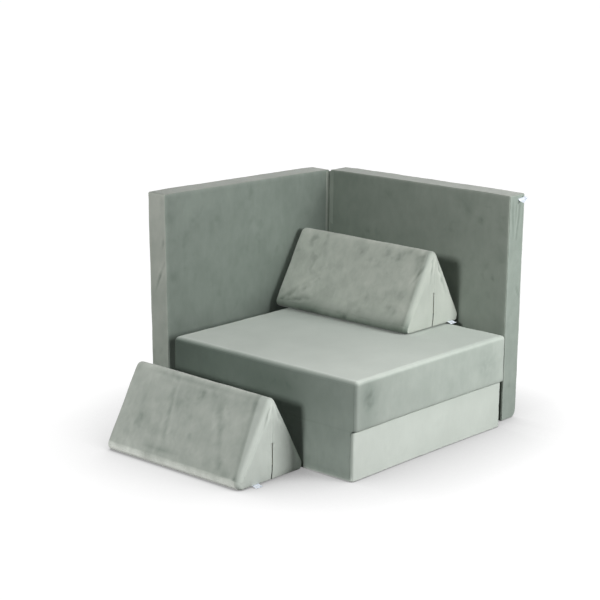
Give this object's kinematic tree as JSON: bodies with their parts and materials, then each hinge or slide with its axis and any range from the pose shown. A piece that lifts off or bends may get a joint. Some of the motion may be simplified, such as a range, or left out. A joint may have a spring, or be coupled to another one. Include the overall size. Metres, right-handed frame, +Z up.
{
  "type": "modular foam play sofa",
  "caption": "Modular foam play sofa: a folding two-part base, a folding mat stood up as arm and back, and triangular wedges, in zipped velvet covers.",
  "frame": {"origin": "middle of the lower base half's underside, on the floor", "axes": "+Z up, the seat faces -Y, the arm panel is at -X and the back panel at +Y"},
  "size_m": [0.9662, 1.2417, 0.7919],
  "materials": {
    "velvet": "crushed sage-green velvet",
    "foam": "open-cell polyurethane foam",
    "zip_tape": "woven tape with a nylon coil",
    "zip_slider": "painted die-cast",
    "label": "plain satin ribbon"
  },
  "bodies": {
    "base_lower": {"base_lower_cover": "velvet", "base_lower_foam": "foam", "base_lower_zip": "zip_tape", "base_fold_strip": "velvet"},
    "base_lower_slider": {"base_lower_zip_slider": "zip_slider"},
    "base_upper": {"base_upper_cover": "velvet", "base_upper_foam": "foam", "base_upper_zip": "zip_tape"},
    "base_upper_slider": {"base_upper_zip_slider": "zip_slider"},
    "mat_arm": {"arm_cover": "velvet", "arm_foam": "foam", "arm_zip": "zip_tape", "mat_fold_strip": "velvet"},
    "arm_slider": {"arm_zip_slider": "zip_slider"},
    "mat_back": {"back_cover": "velvet", "back_foam": "foam", "back_zip": "zip_tape", "back_label": "label"},
    "back_slider": {"back_zip_slider": "zip_slider"},
    "seat_wedge": {"seat_wedge_cover": "velvet", "seat_wedge_foam": "foam", "seat_wedge_zip": "zip_tape", "seat_wedge_label": "label"},
    "seat_wedge_slider": {"seat_wedge_zip_slider": "zip_slider"},
    "floor_wedge": {"floor_wedge_cover": "velvet", "floor_wedge_foam": "foam", "floor_wedge_zip": "zip_tape", "floor_wedge_label": "label"},
    "floor_wedge_slider": {"floor_wedge_zip_slider": "zip_slider"}
  },
  "joints": [
    {"name": "base_fold", "type": "hinge", "parent": "base_lower", "child": "base_upper", "pos_m": [0, -0.4005, 0.16565], "axis": [1, 0, 0], "range_deg": [0, 180]},
    {"name": "seat_wedge_lift", "type": "hinge", "parent": "base_upper", "child": "seat_wedge", "pos_m": [0, 0.44, 0.3313], "axis": [1, 0, 0], "range_deg": [-180, 0]},
    {"name": "floor_wedge_slide", "type": "slide", "parent": "base_lower", "child": "floor_wedge", "axis": [0, -1, 0], "range_m": [0, 1.32]},
    {"name": "mat_slide", "type": "slide", "parent": "base_lower", "child": "mat_arm", "axis": [-0.7071, 0.7071, 0], "range_m": [0, 0.5]},
    {"name": "mat_fold", "type": "hinge", "parent": "mat_arm", "child": "mat_back", "pos_m": [-0.436, 0.4525, 0.396], "axis": [0, 0, 1], "range_deg": [0, 87.6]},
    {"name": "base_lower_zip_run", "type": "slide", "parent": "base_lower", "child": "base_lower_slider", "axis": [1, 0, 0], "range_m": [0, 0.654]},
    {"name": "base_upper_zip_run", "type": "slide", "parent": "base_upper", "child": "base_upper_slider", "axis": [1, 0, 0], "range_m": [0, 0.654]},
    {"name": "arm_zip_run", "type": "slide", "parent": "mat_arm", "child": "arm_slider", "axis": [-0.0419, -0.9991, 0], "range_m": [0, 0.658]},
    {"name": "back_zip_run", "type": "slide", "parent": "mat_back", "child": "back_slider", "axis": [1, 0, 0], "range_m": [0, 0.658]},
    {"name": "seat_wedge_zip_run", "type": "slide", "parent": "seat_wedge", "child": "seat_wedge_slider", "axis": [1, 0, 0], "range_m": [0, 0.493]},
    {"name": "floor_wedge_zip_run", "type": "slide", "parent": "floor_wedge", "child": "floor_wedge_slider", "axis": [1, 0, 0], "range_m": [0, 0.493]}
  ],
  "couplings": [
    {"joint": "seat_wedge_lift", "follows": "base_fold", "ratio": -1},
    {"joint": "floor_wedge_slide", "follows": "base_fold", "m_per_rad": 0.42}
  ]
}
